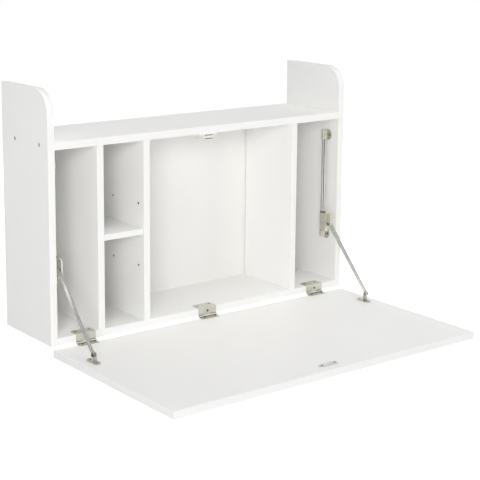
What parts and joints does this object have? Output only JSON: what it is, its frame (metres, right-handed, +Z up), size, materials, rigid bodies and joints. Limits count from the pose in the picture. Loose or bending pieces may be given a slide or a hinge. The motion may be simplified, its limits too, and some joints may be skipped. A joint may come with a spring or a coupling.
{
  "type": "secretary desk",
  "caption": "Wall-hung secretary desk of white board: divided bays and a top tray behind a drop-down writing flap, held by cranked hinges and sliding rod stays.",
  "frame": {"origin": "on the wall plane, midway between the two wall screws", "axes": "+X to the right seen from the front, +Y into the wall, +Z up; the front and the open flap face -Y"},
  "size_m": [0.75, 0.589, 0.5195],
  "materials": {
    "white_board": "white melamine facing, fine satin texture",
    "back_board": "white lacquered thin fibreboard",
    "beech": "plain turned beech",
    "nickel": "satin nickel plate",
    "chrome": "bright chrome plate",
    "zinc_screw": "zinc plate",
    "plate_steel": "bright zinc-plated sheet",
    "dark_plastic": "matte dark plastic",
    "white_plastic": "matte white plastic",
    "ferrite": "dull ferrite"
  },
  "bodies": {
    "carcass": {"back_panel": "back_board", "base_screws": "zinc_screw", "bottom_panel": "white_board", "catch_housing": "white_plastic", "catch_magnet": "ferrite", "catch_poles": "plate_steel", "catch_screws": "zinc_screw", "centre_hinge_carcass_leaf": "nickel", "centre_hinge_pin": "nickel", "divider_dowels": "beech", "hanging_rail": "white_board", "hinge_carcass_screws": "zinc_screw", "left_divider": "white_board", "left_hinge_carcass_leaf": "nickel", "left_hinge_pin": "nickel", "left_rod_brackets": "nickel", "left_side_panel": "white_board", "left_stay_rod": "chrome", "middle_divider": "white_board", "rail_dowels": "beech", "right_divider": "white_board", "right_hinge_carcass_leaf": "nickel", "right_hinge_pin": "nickel", "right_rod_brackets": "nickel", "right_side_panel": "white_board", "right_stay_rod": "chrome", "rod_bracket_screws": "zinc_screw", "shelf_pins": "zinc_screw", "shelf_screws": "zinc_screw", "small_shelf": "white_board", "top_shelf": "white_board"},
    "flap": {"flap_panel": "white_board", "left_hinge_flap_leaf": "nickel", "centre_hinge_flap_leaf": "nickel", "right_hinge_flap_leaf": "nickel", "hinge_flap_screws": "zinc_screw", "left_flap_bracket": "nickel", "right_flap_bracket": "nickel", "flap_rivets": "nickel", "flap_bracket_screws": "zinc_screw", "strike_plate": "plate_steel", "strike_screws": "zinc_screw"},
    "left_slide_unit": {"left_slider": "nickel", "left_slider_ring": "dark_plastic"},
    "left_stay_arm": {"left_arm": "plate_steel"},
    "right_slide_unit": {"right_slider": "nickel", "right_slider_ring": "dark_plastic"},
    "right_stay_arm": {"right_arm": "plate_steel"}
  },
  "joints": [
    {"name": "flap_hinge", "type": "hinge", "parent": "carcass", "child": "flap", "pos_m": [0, -0.1825, -0.352], "axis": [-1, 0, 0], "range_deg": [0, 90]},
    {"name": "left_stay_slide", "type": "slide", "parent": "carcass", "child": "left_slide_unit", "axis": [0, 0, 1], "range_m": [0, 0.14751]},
    {"name": "left_arm_pivot", "type": "hinge", "parent": "flap", "child": "left_stay_arm", "pos_m": [-0.3498, -0.2945, -0.339], "axis": [-1, 0, 0], "range_deg": [-133.02, 0]},
    {"name": "right_stay_slide", "type": "slide", "parent": "carcass", "child": "right_slide_unit", "axis": [0, 0, 1], "range_m": [0, 0.14751]},
    {"name": "right_arm_pivot", "type": "hinge", "parent": "flap", "child": "right_stay_arm", "pos_m": [0.3498, -0.2945, -0.339], "axis": [-1, 0, 0], "range_deg": [-133.02, 0]}
  ],
  "couplings": [
    {"joint": "left_stay_slide", "follows": "flap_hinge", "m_per_rad": 0.093846},
    {"joint": "left_arm_pivot", "follows": "flap_hinge", "ratio": -1.4774},
    {"joint": "right_stay_slide", "follows": "flap_hinge", "m_per_rad": 0.093846},
    {"joint": "right_arm_pivot", "follows": "flap_hinge", "ratio": -1.4774}
  ]
}
